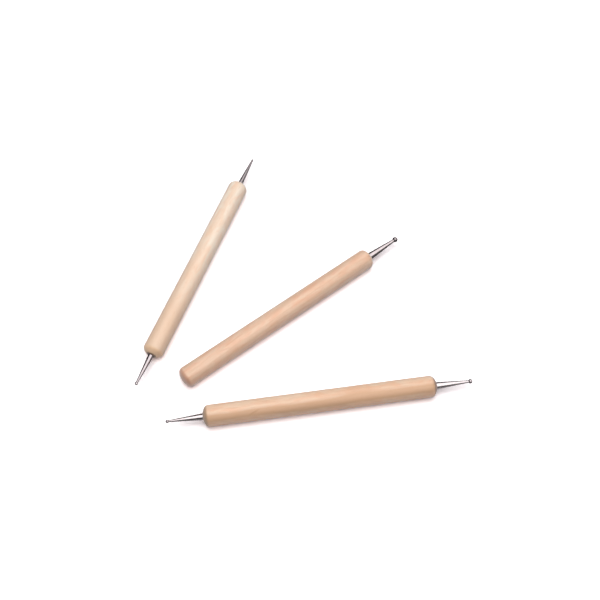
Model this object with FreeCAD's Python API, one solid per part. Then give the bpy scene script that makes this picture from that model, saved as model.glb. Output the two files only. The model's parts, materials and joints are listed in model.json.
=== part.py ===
import FreeCAD, Part
import math
import os
from collections import namedtuple

from FreeCAD import Placement, Rotation, Vector

# A set of three ball-tipped clay modelling tools, lying loose on a table.
# Each tool is a turned wooden handle. A tapered steel pin is glued into a blind hole
# drilled in one or both of its ends, and a steel ball is welded to the pin's nose.
#
# Millimetres. +X is to the user's right, +Y away from the user, +Z up, and the table
# is Z = 0. The origin is on the table, in the middle of the set's footprint.
#
# A tool is made along +X with the middle of its handle at the origin, and then laid
# down. What belongs to one end of a handle is made with X = 0 at the crown's tip and
# +X pointing out of the wood.

# Wooden handles: 3/8 in dowel, 4 in long on the tools with two balls
handle_diameter = 9.5
double_handle_length = 101.6
single_handle_length = 105.7

# What all the pins share
collar_length = 0.6       # plain steel outside the wood, before the taper starts
shank_depth = 14.0        # how far a pin goes into its handle
mouth_length = 3.0        # plain shank between the crown's tip and the knurl
pilot_length = 1.2        # plain lead-in at the tail, as thick as the knurl's valleys
tail_chamfer = 0.25
knurl_teeth = 12
knurl_rise = 0.08         # crests above the plain shank
knurl_sink = 0.10         # valleys below the plain shank
knurl_land = 0.05         # how much of each sharp crest and valley is rolled flat
knurl_run_out = 0.4       # length over which the valleys climb to the plain shank

# Holes for the pins
glue_gap = 0.02           # between the knurl's crests and the wall of the hole
tail_gap = 0.3            # between the pin's tail and the full depth of the hole
drill_point_angle = 118.0
mouth_chamfer = 0.15      # the broken edge of the hole's mouth

# crown_height: how far the domed end stands beyond the dowel's square corner
# edge_round: radius that takes off that corner
End = namedtuple("End", "crown_height edge_round pin")

# reach: from the tip of the handle's crown to the centre of the ball
Pin = namedtuple("Pin", "base_diameter nose_diameter reach ball_diameter label")

# x, y: middle of the handle; heading: of its far end, in degrees from +X towards +Y
Tool = namedtuple("Tool", "handle_length near_end far_end x y heading")

front_small = Pin(base_diameter=2.9, nose_diameter=0.9, reach=14.9, ball_diameter=1.5, label="front_small")
front_large = Pin(base_diameter=3.1, nose_diameter=1.15, reach=14.8, ball_diameter=2.0, label="front_large")
middle = Pin(base_diameter=3.4, nose_diameter=1.5, reach=15.7, ball_diameter=2.5, label="middle")
rear_large = Pin(base_diameter=2.5, nose_diameter=1.0, reach=14.2, ball_diameter=1.5, label="rear_large")
rear_small = Pin(base_diameter=2.4, nose_diameter=0.85, reach=16.2, ball_diameter=1.0, label="rear_small")

tools = {
    "front": Tool(
        handle_length=double_handle_length,
        near_end=End(crown_height=1.8, edge_round=2.2, pin=front_small),
        far_end=End(crown_height=2.2, edge_round=2.5, pin=front_large),
        x=7.5,
        y=-60.16,
        heading=8.1,
    ),
    "middle": Tool(
        handle_length=single_handle_length,
        near_end=End(crown_height=1.6, edge_round=2.4, pin=None),
        far_end=End(crown_height=1.9, edge_round=2.2, pin=middle),
        x=-10.62,
        y=-18.42,
        heading=37.2,
    ),
    "rear": Tool(
        handle_length=double_handle_length,
        near_end=End(crown_height=2.6, edge_round=2.4, pin=rear_large),
        far_end=End(crown_height=2.4, edge_round=2.4, pin=rear_small),
        x=-49.3,
        y=8.8,
        heading=69.25,
    ),
}

handle_radius = handle_diameter / 2
x_axis = Vector(1, 0, 0)
y_axis = Vector(0, 1, 0)
z_axis = Vector(0, 0, 1)


def outline(*points):
    """Straight edges round a half-section given as (distance along X, radius)."""
    corners = [Vector(x, radius, 0) for x, radius in points]
    return [Part.LineSegment(a, b).toShape() for a, b in zip(corners, corners[1:] + corners[:1])]


def turned(edges):
    """Solid of revolution about X from the edges of a closed half-section."""
    return Part.Face(Part.Wire(edges)).revolve(Vector(), x_axis, 360)


def ring_edge(solid, x, radius):
    """The circular edge of a turned solid that lies nearest to x and radius."""
    drawn = [edge for edge in solid.Edges if edge.Closed and not edge.Degenerated]
    rings = [edge for edge in drawn if isinstance(edge.Curve, Part.Circle)]
    return min(rings, key=lambda edge: abs(edge.Curve.Center.x - x) + abs(edge.Curve.Radius - radius))


def placed(shape, position, axis, angle):
    """The shape turned by an angle about an axis and then moved to a position."""
    shape.Placement = Placement(position, Rotation(axis, angle)).multiply(shape.Placement)
    return shape


def ends(tool):
    """The two ends of a tool, each with the way it points along X."""
    return (tool.near_end, -1), (tool.far_end, 1)


def at_end(shape, tool, outward):
    """Place what was made for one end of a tool, so that its +X points outward."""
    tip = Vector(outward * tool.handle_length / 2, 0, 0)
    return placed(shape, tip, y_axis, 0 if outward > 0 else 180)


# ---------------------------------------------------------------- handles


def corner_centre(end):
    """Centre of the arc that rounds the corner, inside the crown and tangent to it and the side."""
    sphere_radius = crown_radius(end)
    x = math.sqrt((sphere_radius - end.edge_round) ** 2 - (handle_radius - end.edge_round) ** 2)
    return Vector(x - sphere_radius, handle_radius - end.edge_round, 0)


def crown_radius(end):
    """Radius of the sphere through the tip of the dome and the dowel's square corner."""
    return (handle_radius**2 + end.crown_height**2) / (2 * end.crown_height)


def dome(end):
    """Half-section of a domed end from its tip to the side: the crown, then the corner."""
    sphere_radius = crown_radius(end)
    corner = corner_centre(end)
    meeting_angle = math.atan2(corner.y, corner.x + sphere_radius)
    crown = Part.Circle(Vector(-sphere_radius, 0, 0), z_axis, sphere_radius)
    rounding = Part.Circle(corner, z_axis, end.edge_round)
    return [
        Part.ArcOfCircle(crown, 0, meeting_angle).toShape(),
        Part.ArcOfCircle(rounding, meeting_angle, math.pi / 2).toShape(),
    ]


def handle_blank(tool):
    """Dowel with a domed end each side, before it is drilled."""
    half = tool.handle_length / 2
    near_side = Vector(-half - corner_centre(tool.near_end).x, handle_radius, 0)
    far_side = Vector(half + corner_centre(tool.far_end).x, handle_radius, 0)
    return turned([
        *(at_end(edge, tool, -1) for edge in dome(tool.near_end)),
        Part.LineSegment(near_side, far_side).toShape(),
        *(at_end(edge, tool, 1) for edge in reversed(dome(tool.far_end))),
        Part.LineSegment(Vector(half, 0, 0), Vector(-half, 0, 0)).toShape(),
    ])


def hole_radius(pin):
    """The knurl's crests reach the wall of the hole, but for the glue."""
    return pin.base_diameter / 2 + knurl_rise + glue_gap


def drill(pin):
    """What the drill takes out for a pin, with the cone that its point leaves."""
    radius = hole_radius(pin)
    full_depth = shank_depth + tail_gap
    point = radius / math.tan(math.radians(drill_point_angle / 2))
    outside = handle_radius
    return turned(outline((-full_depth - point, 0), (-full_depth, radius), (outside, radius), (outside, 0)))


def make_handle(tool):
    handle = handle_blank(tool)
    for end, outward in ends(tool):
        if end.pin:
            handle = handle.cut(at_end(drill(end.pin), tool, outward))
            mouth = ring_edge(handle, outward * tool.handle_length / 2, hole_radius(end.pin))
            handle = handle.makeChamfer(mouth_chamfer, [mouth])
    return handle


# ---------------------------------------------------------------- pins and balls


def make_knurl(plain, valley):
    """Straight knurl: a star-shaped bar, trimmed to its crests and to its pointed ends."""
    crest = plain + knurl_rise
    start = pilot_length - shank_depth
    end = -mouth_length
    tooth_angle = 2 * math.pi / knurl_teeth
    sharp_points = []
    for tooth in range(knurl_teeth):
        for radius, turn in ((crest + knurl_land, tooth), (valley - knurl_land, tooth + 0.5)):
            angle = turn * tooth_angle
            sharp_points.append(Vector(start, radius * math.cos(angle), radius * math.sin(angle)))
    star = Part.Face(Part.makePolygon(sharp_points + sharp_points[:1])).extrude(Vector(end - start, 0, 0))
    lead_in = crest - valley
    envelope = turned(outline(
        (start, 0),
        (start, valley),
        (start + lead_in, crest),
        (end - lead_in, crest),
        (end, valley),
        (end, 0),
    ))
    return star.common(envelope)


def seat_distance(pin):
    """From the ball's centre to the flat where it sits on the pin's nose."""
    return math.sqrt((pin.ball_diameter / 2) ** 2 - (pin.nose_diameter / 2) ** 2)


def make_pin(pin):
    plain = pin.base_diameter / 2
    valley = plain - knurl_sink
    nose = pin.nose_diameter / 2
    nose_x = pin.reach - seat_distance(pin)
    bar = turned(outline(
        (-shank_depth, 0),
        (-shank_depth, valley - tail_chamfer),
        (-shank_depth + tail_chamfer, valley),
        (-mouth_length - knurl_run_out, valley),
        (-mouth_length, plain),
        (collar_length, plain),
        (nose_x, nose),
        (nose_x, 0),
    ))
    return bar.fuse(make_knurl(plain, valley)).removeSplitter()


def make_ball(pin):
    """Ball with a flat the size of the pin's nose, so that the two meet face to face."""
    radius = pin.ball_diameter / 2
    seat = seat_distance(pin)
    nose = pin.nose_diameter / 2
    ball = turned([
        Part.Arc(Vector(-seat, nose, 0), Vector(0, radius, 0), Vector(radius, 0, 0)).toShape(),
        *outline((radius, 0), (-seat, 0), (-seat, nose))[:2],
    ])
    ball.translate(Vector(pin.reach, 0, 0))
    return ball


# ---------------------------------------------------------------- the set


def make_tool(name, tool):
    """Every piece of one tool, by its name, in the tool's own frame."""
    pieces = {f"{name}_handle": make_handle(tool)}
    for end, outward in ends(tool):
        if end.pin:
            pieces[f"{end.pin.label}_pin"] = at_end(make_pin(end.pin), tool, outward)
            pieces[f"{end.pin.label}_ball"] = at_end(make_ball(end.pin), tool, outward)
    return pieces


def centre_footprint(shapes):
    """Slide the whole set over the table until the origin is in its middle."""
    box = Part.makeCompound(shapes).optimalBoundingBox(False, False)
    for shape in shapes:
        shape.translate(Vector(-box.Center.x, -box.Center.y, 0))
    return box


def main():
    nodes = {}
    for name, tool in tools.items():
        for node, shape in make_tool(name, tool).items():
            nodes[node] = placed(shape, Vector(tool.x, tool.y, handle_radius), z_axis, tool.heading)
    box = centre_footprint(list(nodes.values()))
    os.makedirs("parts", exist_ok=True)
    for name, shape in nodes.items():
        shape.exportStep(f"parts/{name}.step")
    print(f"{len(nodes)} nodes, {box.XLength:.2f} x {box.YLength:.2f} x {box.ZLength:.2f} mm")


main()
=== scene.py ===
import json
from math import asin, atan2, cos, pi, radians, sin, sqrt, tan

import bmesh
import bpy
from mathutils import Matrix, Vector


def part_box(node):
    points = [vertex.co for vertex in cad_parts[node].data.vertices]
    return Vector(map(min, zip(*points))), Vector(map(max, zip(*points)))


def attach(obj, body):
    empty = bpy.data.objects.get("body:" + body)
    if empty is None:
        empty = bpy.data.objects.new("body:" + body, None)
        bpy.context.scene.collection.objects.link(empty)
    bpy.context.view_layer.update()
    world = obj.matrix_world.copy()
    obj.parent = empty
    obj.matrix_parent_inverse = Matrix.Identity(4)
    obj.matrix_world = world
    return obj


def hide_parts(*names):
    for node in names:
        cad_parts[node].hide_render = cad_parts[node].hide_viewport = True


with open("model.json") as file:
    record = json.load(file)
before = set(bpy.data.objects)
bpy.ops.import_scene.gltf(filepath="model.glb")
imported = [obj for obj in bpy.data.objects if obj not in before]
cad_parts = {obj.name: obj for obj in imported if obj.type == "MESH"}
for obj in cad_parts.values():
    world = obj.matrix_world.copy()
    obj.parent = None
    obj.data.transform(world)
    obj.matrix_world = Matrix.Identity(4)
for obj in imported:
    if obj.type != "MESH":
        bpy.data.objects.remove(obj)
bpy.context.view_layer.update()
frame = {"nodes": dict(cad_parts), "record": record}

# A loose set of ball-tipped clay modelling tools: turned wooden handles, tapered steel
# pins glued into their ends, and a small steel ball welded to the nose of each pin.
# Places and sizes come from the frame. Lengths named in the dictionaries are in mm.

mm = 0.001
mergeGap = 0.0005       # vertices of a turned piece that lie closer than this become one
screenGamma = 2.2
scene = bpy.context.scene
grips = {mount["name"]: mount for mount in frame["record"]["mounts"]}


class Socket:
    # an output of a node, so that sums on it add Math nodes
    def __init__(self, shader, link):
        self.shader = shader
        self.link = link

    def __add__(self, other):
        return self.shader.math("ADD", self, other)

    def __sub__(self, other):
        return self.shader.math("SUBTRACT", self, other)

    def __rsub__(self, other):
        return self.shader.math("SUBTRACT", other, self)

    def __mul__(self, other):
        return self.shader.math("MULTIPLY", self, other)

    def __truediv__(self, other):
        return self.shader.math("DIVIDE", self, other)

    def __pow__(self, other):
        return self.shader.math("POWER", self, other)

    __radd__ = __add__
    __rmul__ = __mul__


class Shader:
    # the node tree of a material or of the world
    def __init__(self, owner):
        owner.use_nodes = True
        self.owner = owner
        self.tree = owner.node_tree
        self.tree.nodes.clear()

    def node(self, kind, settings=None, inputs=None, output=0):
        # a new node's output, or a list of them where several are named
        made = self.tree.nodes.new(kind)
        for name, value in (settings or {}).items():
            if name == "stops":
                self.setStops(made.color_ramp.elements, value)
            else:
                setattr(made, name, value)
        for key, value in (inputs or {}).items():
            if isinstance(value, Socket):
                self.tree.links.new(value.link, made.inputs[key])
            else:
                made.inputs[key].default_value = value
        if isinstance(output, tuple):
            return [Socket(self, made.outputs[name]) for name in output]
        return Socket(self, made.outputs[output]) if made.outputs else made

    def setStops(self, elements, stops):
        while len(elements) < len(stops):
            elements.new(0.5)
        for element, (position, value) in zip(elements, stops):
            element.position = position
            element.color = (value, value, value, 1)

    def math(self, operation, *values):
        return self.node("ShaderNodeMath", {"operation": operation}, dict(enumerate(values)))

    def ramp(self, factor, stops):
        return self.node("ShaderNodeValToRGB", {"stops": stops}, {0: factor})

    def mix(self, factor, first, second, blend="MIX"):
        settings = {"data_type": "RGBA", "blend_type": blend}
        return self.node("ShaderNodeMix", settings, {0: factor, 6: first, 7: second}, output=2)

    def stretch(self, vector, scale):
        settings = {"operation": "MULTIPLY"}
        return self.node("ShaderNodeVectorMath", settings, {0: vector, 1: scale})

    def noise(self, vector, scale=1.0, detail=2.0, roughness=0.5, distortion=0.0):
        inputs = {"Vector": vector, "Scale": scale, "Detail": detail}
        inputs.update({"Roughness": roughness, "Distortion": distortion})
        return self.node("ShaderNodeTexNoise", {"noise_dimensions": "3D"}, inputs)

    def bump(self, height, strength, size):
        inputs = {"Strength": strength, "Distance": size * mm, "Height": height}
        return self.node("ShaderNodeBump", None, inputs)

    def split(self, vector):
        return self.node("ShaderNodeSeparateXYZ", None, {0: vector}, output=("X", "Y", "Z"))

    def toolSpace(self, tool):
        # millimetres from the middle of the handle, with X along it
        coordinates = self.node("ShaderNodeTexCoord", output="Object")
        inputs = {"Vector": coordinates, "Location": tool.middle, "Scale": (mm, mm, mm)}
        inputs["Rotation"] = (0, 0, tool.heading)
        return self.node("ShaderNodeMapping", {"vector_type": "TEXTURE"}, inputs)

    def finish(self, surface, target="ShaderNodeOutputMaterial"):
        self.node(target, None, {"Surface": surface})
        return self.owner


def newShader(name):
    return Shader(bpy.data.materials.new(name))


def colour(red, green, blue):
    # a colour as it looks on a screen, 0 to 255, as the linear value that a socket takes
    return tuple((part / 255) ** screenGamma for part in (red, green, blue)) + (1,)


# 1 is the end that the grip's axis points to, -1 the other
toolEnds = {
    "front": {
        1: {"crown": 2.2, "edgeRound": 2.5, "pin": "front_large"},
        -1: {"crown": 1.8, "edgeRound": 2.2, "pin": "front_small"},
    },
    "middle": {
        1: {"crown": 1.6, "edgeRound": 2.4, "pin": None},
        -1: {"crown": 1.9, "edgeRound": 2.2, "pin": "middle"},
    },
    "rear": {
        1: {"crown": 2.4, "edgeRound": 2.4, "pin": "rear_small"},
        -1: {"crown": 2.6, "edgeRound": 2.4, "pin": "rear_large"},
    },
}


class Tool:
    # one tool of the set: the middle of its grip and the way its handle points
    def __init__(self, name):
        grip = grips[name + "_grip"]
        self.name = name
        self.body = name + "_tool"
        self.middle = Vector(grip["pos_m"])
        self.axis = Vector(grip["axis"])
        self.radius = grip["dims"]["r_mm"] * mm
        self.wall = grip["dims"]["length_mm"] * mm / 2
        self.heading = atan2(self.axis.y, self.axis.x)
        self.ends = {way: self.domedEnd(**end) for way, end in toolEnds[name].items()}

    def domedEnd(self, crown, edgeRound, pin):
        # the sphere of the crown runs tangent into the round at the edge, which meets the wall
        crown, edgeRound = crown * mm, edgeRound * mm
        sphere = (self.radius**2 + crown**2) / (2 * crown)
        reach = sphere - sqrt((sphere - edgeRound) ** 2 - (self.radius - edgeRound) ** 2)
        return {"sphere": sphere, "edgeRound": edgeRound, "tip": self.wall + reach, "pin": pin}

    def span(self, node, way):
        # how far a CAD node reaches along the axis, from the middle and outwards
        places = [self.along(vertex.co, way) for vertex in frame["nodes"][node].data.vertices]
        return min(places), max(places)

    def along(self, point, way):
        return (point - self.middle).dot(self.axis) * way

    def girth(self, node, way, start, end):
        # the largest radius of a turned CAD node between two places on the axis
        found = [0.0]
        for vertex in frame["nodes"][node].data.vertices:
            if start <= self.along(vertex.co, way) <= end:
                offset = vertex.co - self.middle
                found.append((offset - offset.dot(self.axis) * self.axis).length)
        return max(found)

    def matrix(self, way, distance=0.0):
        # from a piece made along +X to its place on this tool, pointing one way or the other
        turn = self.heading if way > 0 else self.heading + pi
        move = Matrix.Translation(self.middle + self.axis * way * distance)
        return move @ Matrix.Rotation(turn, 4, "Z")


tools = {name: Tool(name) for name in ("front", "middle", "rear")}
print("frame read:", ", ".join(tools))


def lineTo(outline, last, x, radius):
    # carry the outline of a turned piece on in a straight line
    new = bmesh.ops.extrude_vert_indiv(outline, verts=[last])["verts"][0]
    new.co = (x, radius, 0)
    return new


def arcTo(outline, last, centre, angle, steps):
    # carry it on in an arc about a centre
    centre = (centre[0], centre[1], 0)
    made = bmesh.ops.spin(
        outline,
        geom=[last],
        cent=centre,
        axis=(0, 0, 1),
        angle=angle,
        steps=steps,
        use_duplicate=False,
    )
    return [item for item in made["geom_last"] if isinstance(item, bmesh.types.BMVert)][0]


def turnOutline(outline, segments):
    # spin a finished outline about X and close it where it meets the axis
    bmesh.ops.spin(
        outline,
        geom=outline.verts[:] + outline.edges[:],
        cent=(0, 0, 0),
        axis=(1, 0, 0),
        angle=2 * pi,
        steps=segments,
        use_merge=True,
        use_duplicate=False,
    )
    bmesh.ops.remove_doubles(outline, verts=outline.verts, dist=mergeGap * mm)


def makePiece(shape, name, matrix, material, sharpAngle=radians(32)):
    bmesh.ops.transform(shape, matrix=matrix, verts=shape.verts)
    bmesh.ops.recalc_face_normals(shape, faces=shape.faces)
    for face in shape.faces:
        face.smooth = True
    for edge in shape.edges:
        edge.smooth = edge.calc_face_angle(0) < sharpAngle
    mesh = bpy.data.meshes.new(name)
    shape.to_mesh(mesh)
    shape.free()
    mesh.materials.append(material)
    piece = bpy.data.objects.new(name, mesh)
    scene.collection.objects.link(piece)
    return piece


def standFor(piece, node, tool):
    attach(piece, tool.body)
    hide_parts(node)


# each wood, with places in mm along, across and above the middle of its handle
# the band, with its place, half width and share, paints shade along the lower side of each handle
woods = {
    "front": {
        "slot": "tan_wood",
        "sheen": 0.45,
        "pale": colour(246, 215, 188),
        "dark": colour(233, 193, 162),
        "band": colour(211, 167, 132),
        "bandPlace": 18.3,
        "bandHalf": 2.8,
        "bandShare": 0.90,
        "pith": (31, 15.1, 9.8),
        "lean": (0, 0.005, 0.004),
        "foot": 0.0,
        "mark": {"place": (-28.6, -2.6), "turn": 0.32, "share": 0.45},
        # the end tones are the darker end grain together with painted shade on each dome
        "ends": {
            1: {"tone": colour(150, 114, 92), "share": 0.95, "length": 2.0, "scorch": 0.5},
            -1: {"tone": colour(182, 149, 122), "share": 0.95, "length": 2.4, "scorch": 0.3},
        },
    },
    "middle": {
        "slot": "pink_tan_wood",
        "sheen": 1.0,
        "pale": colour(240, 206, 181),
        "dark": colour(226, 186, 154),
        "band": colour(213, 174, 142),
        "bandPlace": 16.0,
        "bandHalf": 1.8,
        "bandShare": 0.25,
        "pith": (117, -12.5, 9.5),
        "lean": (0, 0.03, -0.06),
        "foot": 0.0,
        "mark": {"place": (30.5, 1.2), "turn": -0.25, "share": 0.20},
        "ends": {
            1: {"tone": colour(212, 158, 131), "share": 0.85, "length": 2.5, "scorch": 0.0},
            -1: {"tone": colour(242, 208, 170), "share": 0.60, "length": 2.0, "scorch": 0.0},
        },
    },
    "rear": {
        "slot": "cream_wood",
        "sheen": 0.60,
        "pale": colour(255, 240, 221),
        "dark": colour(249, 225, 202),
        "band": colour(236, 201, 172),
        "bandPlace": 19.0,
        "bandHalf": 1.6,
        "bandShare": 0.40,
        "pith": (239, -17.5, 5.0),
        "lean": (0, -0.02, 0.045),
        "foot": 0.85,
        "mark": {"place": (-38.0, 3.4), "turn": 0.20, "share": 0.25},
        "ends": {
            1: {"tone": colour(250, 228, 200), "share": 0.50, "length": 2.0, "scorch": 0.0},
            -1: {"tone": colour(243, 202, 163), "share": 0.85, "length": 3.2, "scorch": 0.9},
        },
    },
}

# what the three woods share; lengths are in mm and scales are per mm
grain = {
    "darkness": 0.12,            # the dark tone's share before rings, fibres and flames
    "ringGap": 1.9,
    "ringSharpness": 2.2,
    "ringShare": 0.40,
    "sway": (0.030, 0.11, 0.11),
    "swayDetail": 3.0,
    "swaySize": 3.2,
    "bandFades": [(0.45, 1.0), (1.0, 0.0)],
    "fibre": (0.10, 2.4, 2.4),
    "fibreDetail": 5.0,
    "fibreRoughness": 0.62,
    "fibreShare": 1.25,
    "pore": (0.45, 7.5, 7.5),
    "poreEdge": [(0.60, 0.0), (0.72, 1.0)],
    "poreTone": colour(192, 142, 108),
    "poreShare": 0.32,
    "flame": (0.11, 0.34, 0.34),
    "flameWarp": 0.8,
    "flameShare": 1.1,
    "flush": colour(247, 212, 188),
    "flushFades": [(0.35, 0.55), (0.60, 0.0)],
    "footReach": (-30, 10),      # along the handle, where the browner foot is full and gone
    "markSize": (3.2, 0.45),
    "endEdge": [(0.68, 1.0), (1.0, 0.0)],
    "endRaggedness": 0.5,
    "endTone": (0.75, 0.5),      # how strong the bare end is, and what the fibres add
    "scorchTone": colour(88, 52, 36),
    "scorchReach": 2.6,
    "scorchEdge": [(0.75, 1.0), (1.0, 0.0)],
    "scorchRaggedness": 1.4,
    "relief": {"fibre": 0.6, "pore": 0.8, "ring": 0.15},
}


def woodFigure(shader, wood, place, x):
    # growth rings about a pith outside the stick, and one broad darker band of them, laid
    # lengthwise along the handle so that it paints the shade on its lower side
    fromPith = {"Vector": place, "Location": wood["pith"], "Rotation": wood["lean"]}
    grown = shader.node("ShaderNodeMapping", {"vector_type": "POINT"}, fromPith)
    across, above = shader.split(grown)[1:]
    swayNoise = shader.noise(shader.stretch(grown, grain["sway"]), detail=grain["swayDetail"])
    sway = (swayNoise - 0.5) * grain["swaySize"]
    distance = shader.math("SQRT", across * across + above * above) + sway
    wave = shader.math("SINE", distance * (2 * pi / grain["ringGap"])) * 0.5 + 0.5
    ring = wave ** grain["ringSharpness"]
    fromBand = shader.math("ABSOLUTE", distance - wood["bandPlace"]) / wood["bandHalf"]
    band = shader.ramp(fromBand, grain["bandFades"])

    # fibres, the short dark dashes of the pores, and slow flames that darken it or flush it pink
    fibre = shader.noise(
        shader.stretch(grown, grain["fibre"]),
        detail=grain["fibreDetail"],
        roughness=grain["fibreRoughness"],
    )
    pore = shader.ramp(shader.noise(shader.stretch(grown, grain["pore"])), grain["poreEdge"])
    flame = shader.noise(shader.stretch(grown, grain["flame"]), distortion=grain["flameWarp"])
    darkness = ring * grain["ringShare"] + (fibre - 0.5) * grain["fibreShare"]
    darkness = darkness + (flame - 0.5) * grain["flameShare"] + grain["darkness"]
    tone = shader.mix(darkness, wood["pale"], wood["dark"])
    flush = shader.ramp(flame, grain["flushFades"])
    tone = shader.mix(flush, tone, grain["flush"], "MULTIPLY")
    full, gone = grain["footReach"]
    foot = shader.ramp((x - full) / (gone - full), [(0.0, wood["foot"]), (1.0, 0.0)])
    tone = shader.mix(foot, tone, wood["band"])
    # the band: painted shade along the lower side of the handle, drawn as a run of darker rings
    tone = shader.mix(band * wood["bandShare"], tone, wood["band"])
    tone = shader.mix(pore * grain["poreShare"], tone, grain["poreTone"])
    relief = grain["relief"]
    return tone, fibre, fibre * relief["fibre"] - pore * relief["pore"] + ring * relief["ring"]


def woodFleck(shader, mark, tone, x, y, z):
    # one small dark fleck on the side that faces up
    placeX, placeY = mark["place"]
    length, width = grain["markSize"]
    turnX, turnY = cos(mark["turn"]), sin(mark["turn"])
    lengthways = ((x - placeX) * turnX + (y - placeY) * turnY) / length
    sideways = ((y - placeY) * turnX - (x - placeX) * turnY) / width
    fleck = shader.ramp(lengthways * lengthways + sideways * sideways, [(0.0, 1.0), (1.0, 0.0)])
    fleck = fleck * shader.math("GREATER_THAN", z, 0.0)
    return shader.mix(fleck * mark["share"], tone, grain["poreTone"])


def woodEnds(shader, tool, wood, tone, fibre, x, y, z):
    # bare end grain on the domes, with each end's tone also painting the shade on that dome, and
    # the scorch that a hot drill left round some holes
    radius = shader.math("SQRT", y * y + z * z)
    scorchReach = grain["scorchReach"] + grain["scorchRaggedness"] * (fibre - 0.5)
    nearHole = shader.ramp(radius / scorchReach, grain["scorchEdge"])
    least, fromFibre = grain["endTone"]
    for way, end in wood["ends"].items():
        fromTip = tool.ends[way]["tip"] / mm - x * way
        ragged = (fromTip + grain["endRaggedness"] * (fibre - 0.5)) / end["length"]
        endGrainAndShade = shader.ramp(ragged, grain["endEdge"])
        share = endGrainAndShade * (least + fromFibre * fibre) * end["share"]
        # the end grain's own darker colour and painted shade on the dome, in one tone
        tone = shader.mix(share, tone, end["tone"])
        tone = shader.mix(endGrainAndShade * nearHole * end["scorch"], tone, grain["scorchTone"])
    return tone


woodFinish = {
    "roughness": 0.37,
    "fibreRoughness": 0.14,      # what the fibres add to it
    "index": 1.45,
    "sheenRoughness": 0.45,
    "bump": 0.35,
    "bumpHeight": 0.02,
}


def makeWood(tool, wood):
    # bare sanded hardwood: a soft gloss, and a pale bloom along its edges from the cut fibres
    shader = newShader(tool.name + "Wood")
    place = shader.toolSpace(tool)
    x, y, z = shader.split(place)
    tone, fibre, bumps = woodFigure(shader, wood, place, x)
    tone = woodFleck(shader, wood["mark"], tone, x, y, z)
    tone = woodEnds(shader, tool, wood, tone, fibre, x, y, z)
    surface = shader.node("ShaderNodeBsdfPrincipled", None, {
        "Base Color": tone,
        "Roughness": woodFinish["roughness"] + fibre * woodFinish["fibreRoughness"],
        "Normal": shader.bump(bumps, woodFinish["bump"], woodFinish["bumpHeight"]),
        "IOR": woodFinish["index"],
        "Sheen Weight": wood["sheen"],
        "Sheen Roughness": woodFinish["sheenRoughness"],
    })
    return shader.finish(surface)


handles = {
    "segments": 96,
    "roundSteps": 10,
    "crownSteps": 14,
    "holeGap": 0.10,             # between a pin and the wall of its hole
    "holeDepth": 14.3,
    "drillPoint": 59,            # half of the drill's point angle, in degrees
    "mouthChamfer": 0.15,
    "baseWindow": (-0.1, 0.7),   # from the tip, where the radius of a pin's base is read
}


def pinBase(tool, end, way):
    # radius of the pin where it leaves the wood
    start, stop = (end["tip"] + place * mm for place in handles["baseWindow"])
    return tool.girth(end["pin"] + "_pin", way, start, stop)


def outlineEnd(outline, tool, end, way):
    # half-section of one end of a handle, from its straight side to the axis
    start = outline.verts.new((way * tool.wall, tool.radius, 0))
    inner = tool.radius - end["edgeRound"]
    centre = end["tip"] - end["sphere"]
    meeting = atan2(inner, tool.wall - centre)
    hole = pinBase(tool, end, way) + handles["holeGap"] * mm if end["pin"] else 0
    rim = asin((hole + handles["mouthChamfer"] * mm) / end["sphere"]) if end["pin"] else 0
    last = arcTo(
        outline, start, (way * tool.wall, inner), way * (meeting - pi / 2), handles["roundSteps"]
    )
    last = arcTo(outline, last, (way * centre, 0), way * (rim - meeting), handles["crownSteps"])
    if end["pin"]:
        depth = end["tip"] - handles["holeDepth"] * mm
        mouth = centre + end["sphere"] * cos(rim) - handles["mouthChamfer"] * mm
        point = hole / tan(radians(handles["drillPoint"]))
        last = lineTo(outline, last, way * mouth, hole)
        last = lineTo(outline, last, way * depth, hole)
        last = lineTo(outline, last, way * (depth - point), 0)
    return start


def makeHandle(tool):
    outline = bmesh.new()
    starts = [outlineEnd(outline, tool, end, way) for way, end in tool.ends.items()]
    outline.edges.new(starts)
    turnOutline(outline, handles["segments"])
    wood = woods[tool.name]
    piece = makePiece(outline, tool.name + "Handle", tool.matrix(1), makeWood(tool, wood))
    standFor(piece, tool.name + "_handle", tool)


for tool in tools.values():
    makeHandle(tool)
print("handles turned")


# each steel: its bright and its dull tone, and its roughness
pinSteels = {
    "front_small": (colour(176, 171, 171), colour(150, 144, 144), 0.09),
    "front_large": (colour(176, 171, 171), colour(150, 144, 144), 0.09),
    "middle": (colour(160, 154, 154), colour(128, 121, 121), 0.12),
    "rear_large": (colour(158, 152, 153), colour(130, 124, 125), 0.14),
    "rear_small": (colour(136, 130, 131), colour(106, 101, 102), 0.24),
}
turningMarks = {
    "scale": (9.0, 0.4, 0.4),
    "detail": 3.0,
    "contrast": 0.6,
    "roughness": 0.08,           # what the marks add to it
    "bump": 0.15,
    "bumpHeight": 0.004,
    "cloud": 0.9,                # scale of the slow change of tone
}


def makePinSteel(tool, pin):
    # plated steel with fine turning marks round it
    bright, dull, roughness = pinSteels[pin]
    shader = newShader(pin.replace("_", "") + "Steel")
    place = shader.toolSpace(tool)
    marks = shader.noise(
        shader.stretch(place, turningMarks["scale"]),
        detail=turningMarks["detail"],
        roughness=turningMarks["contrast"],
    )
    cloud = shader.noise(place, turningMarks["cloud"])
    surface = shader.node("ShaderNodeBsdfPrincipled", None, {
        "Base Color": shader.mix(cloud, bright, dull),
        "Metallic": 1.0,
        "Roughness": roughness + marks * turningMarks["roughness"],
        "Normal": shader.bump(marks, turningMarks["bump"], turningMarks["bumpHeight"]),
    })
    return shader.finish(surface)


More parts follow.
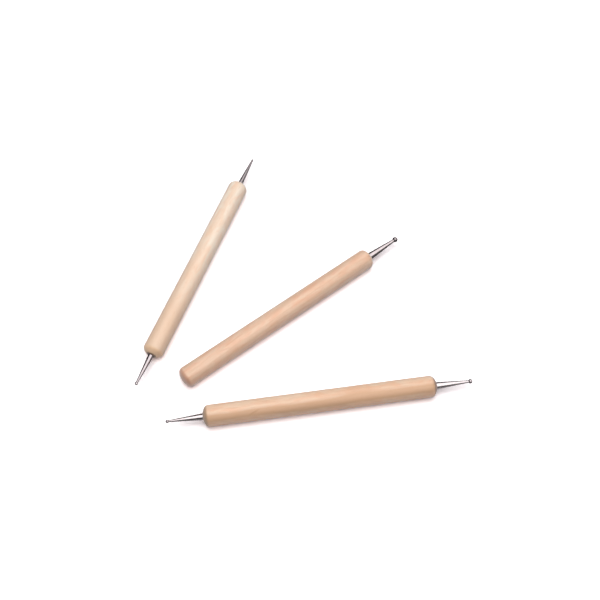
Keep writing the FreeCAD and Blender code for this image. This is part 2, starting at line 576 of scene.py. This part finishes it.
ballSteels = {
    "front_small": (colour(160, 154, 155), colour(140, 134, 135), 0.26),
    "front_large": (colour(158, 152, 153), colour(140, 134, 135), 0.14),
    "middle": (colour(132, 126, 127), colour(108, 102, 103), 0.01),
    "rear_large": (colour(178, 172, 173), colour(160, 154, 155), 0.26),
    "rear_small": (colour(120, 115, 116), colour(104, 99, 100), 0.22),
}
ballCloud = {"scale": 900.0, "detail": 3.0, "roughness": 0.06}


def makeBallSteel(pin):
    # ground steel, faintly clouded
    bright, dull, roughness = ballSteels[pin]
    shader = newShader(pin.replace("_", "") + "BallSteel")
    coordinates = shader.node("ShaderNodeTexCoord", output="Object")
    cloud = shader.noise(coordinates, ballCloud["scale"], ballCloud["detail"])
    surface = shader.node("ShaderNodeBsdfPrincipled", None, {
        "Base Color": shader.mix(cloud, bright, dull),
        "Metallic": 1.0,
        "Roughness": roughness + cloud * ballCloud["roughness"],
    })
    return shader.finish(surface)


pins = {
    "segments": 48,
    "tailChamfer": 0.25,
    "collar": 0.6,
    "mouth": 3.0,          # plain shank inside the hole before the knurl
    "pilot": 1.2,
    "knurlTeeth": 12,
    "knurlRise": 0.08,
    "knurlSink": 0.10,
    "knurlShoulder": 0.1,  # from the flutes to the plain steel on either side
    "hair": 0.01,          # how far beyond its own place a vertex still counts
}
balls = {"segments": 48, "rings": 32}


def knurlShank(shape, start, end, plain):
    # push alternate flutes of the shank in and out
    for vertex in shape.verts:
        if start <= vertex.co.x <= end:
            angle = atan2(vertex.co.z, vertex.co.y)
            wave = cos(angle * pins["knurlTeeth"])
            push = pins["knurlRise"] if wave > 0 else pins["knurlSink"]
            radius = plain + wave * push * mm
            vertex.co.y = radius * cos(angle)
            vertex.co.z = radius * sin(angle)


def makePin(tool, end, way, material):
    node = end["pin"] + "_pin"
    tail, nose = (place - end["tip"] for place in tool.span(node, way))
    base = pinBase(tool, end, way)
    hair = pins["hair"] * mm
    noseRadius = tool.girth(node, way, end["tip"] + nose - hair, end["tip"] + nose + hair)
    knurlStart, knurlEnd = tail + pins["pilot"] * mm, -pins["mouth"] * mm
    shoulder = pins["knurlShoulder"] * mm
    chamfer = pins["tailChamfer"] * mm
    pilot = base - pins["knurlSink"] * mm

    outline = bmesh.new()
    last = outline.verts.new((tail, 0, 0))
    last = lineTo(outline, last, tail, pilot - chamfer)
    last = lineTo(outline, last, tail + chamfer, pilot)
    last = lineTo(outline, last, knurlStart - shoulder, pilot)
    last = lineTo(outline, last, knurlStart, base)
    last = lineTo(outline, last, knurlEnd, base)
    last = lineTo(outline, last, knurlEnd + shoulder, base)
    last = lineTo(outline, last, pins["collar"] * mm, base)
    last = lineTo(outline, last, nose, noseRadius)
    last = lineTo(outline, last, nose, 0)
    turnOutline(outline, pins["segments"])
    knurlShank(outline, knurlStart - hair, knurlEnd + hair, base)
    name = end["pin"].replace("_", "") + "Pin"
    piece = makePiece(outline, name, tool.matrix(way, end["tip"]), material)
    standFor(piece, node, tool)


def makeBall(tool, end, way, material):
    node = end["pin"] + "_ball"
    low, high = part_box(node)
    radius = (high.z - low.z) / 2
    centre = tool.span(node, way)[1] - radius
    ball = bmesh.new()
    bmesh.ops.create_uvsphere(
        ball, u_segments=balls["segments"], v_segments=balls["rings"], radius=radius
    )
    bmesh.ops.rotate(ball, verts=ball.verts, matrix=Matrix.Rotation(pi / 2, 3, "Y"))
    name = end["pin"].replace("_", "") + "Ball"
    piece = makePiece(ball, name, tool.matrix(way, centre), material)
    standFor(piece, node, tool)


for tool in tools.values():
    for way, end in tool.ends.items():
        if end["pin"]:
            makePin(tool, end, way, makePinSteel(tool, end["pin"]))
            makeBall(tool, end, way, makeBallSteel(end["pin"]))
print("pins and balls made")


# the stage is in metres
stage = {
    "white": (1, 1, 1, 1),
    "floorSize": 2.0,
    "floorColour": (0.70, 0.68, 0.69, 1),
    "floorSeen": (1.45, 1.42, 1.43, 1),         # the same floor as the camera and the steel see it
    "floorLift": (0.14, 0.10, 0.11, 1),
    "floorFades": [(0.22, 0.0), (0.60, 1.0)],   # from its middle, so that the horizon is white too
    "fill": 0.06,                               # what the world adds to the wood and the floor
    "lampPlace": (-0.01, 0.0, 0.80),
    "lampSize": 0.90,
    "lampPower": 7.3,
    "tentRadius": 1.5,
    "tentSegments": 48,
    "tentRings": 24,
    "tentWall": 0.08,
    "tentCeiling": 3.0,
    "tentTint": (1, 0.96, 0.97, 1),
    "tentBase": 0.0001,                         # just above the floor
    "tableFront": -0.1,                         # where the ramp of the mirrored table starts
    "tableDepth": 0.1,
    "tableTop": 0.01,
    "paintedTableReflection": [(0.45, 0.45), (0.75, 0.20)],  # painted reflection of the table, seen by the steel in place of the floor
    "ceilingEdge": [(0.67, 0.0), (0.73, 1.0)],
    "ceilingLean": 0.30,                        # how far the ceiling comes down on the right
}


def seenDirectly(shader):
    # 1 for the rays from the camera and from mirrors and glass, 0 for those that light things
    kinds = ("Is Camera Ray", "Is Glossy Ray", "Is Transmission Ray")
    camera, glossy, transmission = shader.node("ShaderNodeLightPath", output=kinds)
    return shader.math("MAXIMUM", shader.math("MAXIMUM", camera, glossy), transmission)


def makeFloor():
    shader = newShader("floor")
    seen = seenDirectly(shader)
    paper = shader.mix(seen, stage["floorColour"], stage["floorSeen"])
    matt = shader.node("ShaderNodeBsdfDiffuse", None, {"Color": paper})
    place = shader.node("ShaderNodeTexCoord", output="Object")
    away = shader.node("ShaderNodeVectorMath", {"operation": "LENGTH"}, {0: place}, output="Value")
    far = shader.ramp(away, stage["floorFades"])
    glow = shader.mix(far, stage["floorLift"], stage["white"])
    lift = shader.node("ShaderNodeEmission", None, {"Color": glow, "Strength": seen})
    surface = shader.node("ShaderNodeAddShader", None, {0: matt, 1: lift})
    grid = bmesh.new()
    bmesh.ops.create_grid(grid, x_segments=1, y_segments=1, size=stage["floorSize"])
    floor = makePiece(grid, "floor", Matrix.Identity(4), shader.finish(surface))


def makeWorld():
    world = bpy.data.worlds.new("studio")
    scene.world = world
    shader = Shader(world)
    strength = seenDirectly(shader) * (1 - stage["fill"]) + stage["fill"]
    inputs = {"Color": stage["white"], "Strength": strength}
    shader.finish(shader.node("ShaderNodeBackground", None, inputs), "ShaderNodeOutputWorld")


def makeLamp():
    data = bpy.data.lights.new("lamp", "AREA")
    data.shape = "DISK"
    data.size = stage["lampSize"]
    data.energy = stage["lampPower"]
    lamp = bpy.data.objects.new("lamp", data)
    lamp.location = stage["lampPlace"]
    lamp.rotation_euler = lamp.location.to_track_quat("Z", "Y").to_euler()
    lamp.visible_glossy = False
    scene.collection.objects.link(lamp)


def makeTent():
    # what the steel mirrors: a glowing dome that only reflections see and that is no lamp,
    # painting the reflections of a dark room with a wide bright ceiling, and of a pale table on
    # its floor disc, which hides the real floor from the steel
    shader = newShader("tent")
    coordinates = shader.node("ShaderNodeTexCoord", output="Object")
    x, y, z = shader.split(coordinates)
    height = (z + x * stage["ceilingLean"]) / stage["tentRadius"]
    ceiling = shader.ramp(height, stage["ceilingEdge"])
    fromFront = (y - stage["tableFront"]) / stage["tableDepth"]
    table = shader.ramp(fromFront, stage["paintedTableReflection"])
    table = table * shader.math("LESS_THAN", z, stage["tableTop"])
    # painted reflections: the bright ceiling, the table and the dark walls
    light = ceiling * stage["tentCeiling"] + table + stage["tentWall"]
    glow = shader.node("ShaderNodeEmission", None, {"Color": stage["tentTint"], "Strength": light})
    dome = bmesh.new()
    bmesh.ops.create_uvsphere(
        dome,
        u_segments=stage["tentSegments"],
        v_segments=stage["tentRings"],
        radius=stage["tentRadius"],
    )
    cut = bmesh.ops.bisect_plane(
        dome,
        geom=dome.verts[:] + dome.edges[:] + dome.faces[:],
        plane_co=(0, 0, stage["tentBase"]),
        plane_no=(0, 0, 1),
        clear_inner=True,
    )
    rim = [item for item in cut["geom_cut"] if isinstance(item, bmesh.types.BMEdge)]
    bmesh.ops.contextual_create(dome, geom=rim)
    tent = makePiece(dome, "tent", Matrix.Identity(4), shader.finish(glow))
    for kind in ("camera", "diffuse", "transmission", "volume_scatter", "shadow"):
        setattr(tent, "visible_" + kind, False)


makeFloor()
makeWorld()
makeLamp()
makeTent()

view = {
    "lens": 50,
    "nearest": 0.01,
    "elevation": 60.14,
    "distance": 381.9,      # this and the aim are in mm
    "aim": (-1.60, -10.40, 4.75),
}


def makeCamera():
    data = bpy.data.cameras.new("camera")
    data.lens = view["lens"]
    data.clip_start = view["nearest"]
    camera = bpy.data.objects.new("camera", data)
    up = radians(view["elevation"])
    back = Vector((0, -cos(up), sin(up)))
    camera.location = (Vector(view["aim"]) + back * view["distance"]) * mm
    camera.rotation_euler = back.to_track_quat("Z", "Y").to_euler()
    scene.collection.objects.link(camera)
    scene.camera = camera


makeCamera()
scene.view_settings.view_transform = "Standard"
print("stage set")
